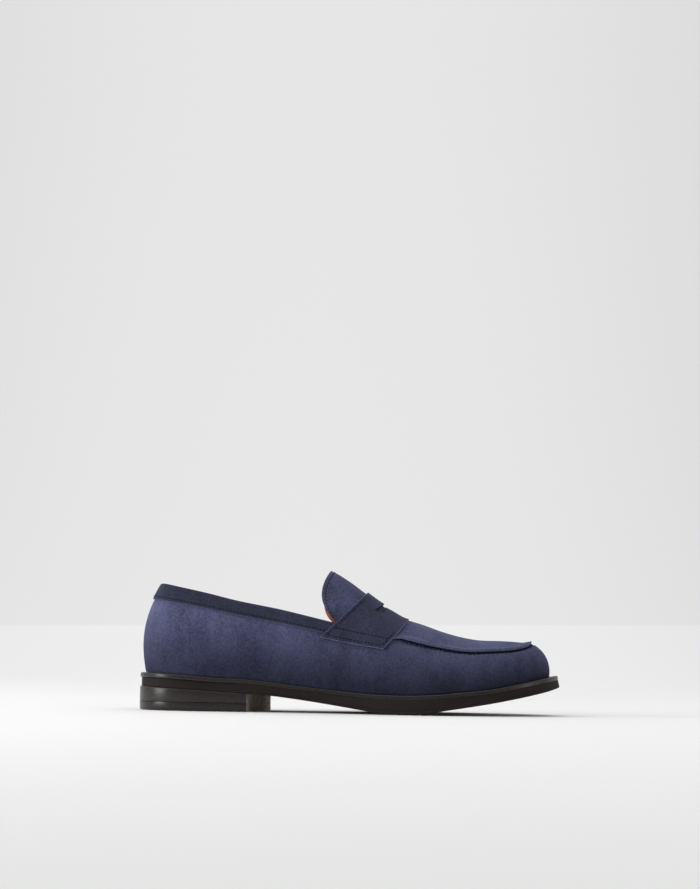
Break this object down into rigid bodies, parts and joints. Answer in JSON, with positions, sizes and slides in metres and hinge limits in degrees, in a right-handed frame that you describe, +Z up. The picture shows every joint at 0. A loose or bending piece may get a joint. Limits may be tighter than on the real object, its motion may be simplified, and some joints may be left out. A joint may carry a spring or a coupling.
{
  "type": "penny loafer",
  "caption": "Men's slip-on moccasin shoe for the right foot: suede upper with raised apron seam, slotted saddle strap, lifting tongue, thin welted sole and low heel.",
  "frame": {"origin": "on the ground, at the middle of the shoe's length and width", "axes": "+X along the shoe to the toe, +Y to the inner side of the foot, +Z up"},
  "size_m": [0.2996, 0.1052, 0.1009],
  "materials": {
    "navy_suede": "napped suede, matt",
    "dark_navy_suede": "napped suede, matt, brushed darker",
    "lining_leather": "smooth calf lining, satin",
    "seam_thread": "waxed thread",
    "stiffener": "resin-stiffened cloth",
    "insole_board": "pressed fibre board",
    "foam": "open-cell foam",
    "cork": "granulated cork",
    "steel": "plain steel",
    "sole_edge": "dark brown-black, low sheen",
    "welt_edge": "burnished edge, satin"
  },
  "bodies": {
    "shoe": {"upper_wall": "navy_suede", "apron": "navy_suede", "apron_seam_thread": "seam_thread", "strap_backing": "dark_navy_suede", "saddle_strap": "dark_navy_suede", "collar_outer_side": "dark_navy_suede", "collar_inner_side": "dark_navy_suede", "collar_heel": "dark_navy_suede", "heel_counter": "stiffener", "toe_puff": "stiffener", "heel_grip": "lining_leather", "quarter_lining_outer_side": "lining_leather", "quarter_lining_inner_side": "lining_leather", "vamp_lining": "lining_leather", "apron_lining": "lining_leather", "welt": "welt_edge", "outsole": "sole_edge", "bottom_filler": "cork", "shank": "steel", "insole_board": "insole_board", "heel_pad": "foam", "sock_liner": "lining_leather", "heel_block": "sole_edge", "heel_top_piece": "sole_edge", "heel_nail_1": "steel", "heel_nail_2": "steel", "heel_nail_3": "steel", "heel_nail_4": "steel"},
    "tongue_body": {"tongue": "navy_suede", "tongue_lining": "lining_leather"}
  },
  "joints": [
    {"name": "tongue_lift", "type": "hinge", "parent": "shoe", "child": "tongue_body", "pos_m": [0.011, 0, 0.0825], "axis": [0, 1, 0], "range_deg": [-4, 22], "stiffness_Nm_per_rad": 0.15}
  ]
}
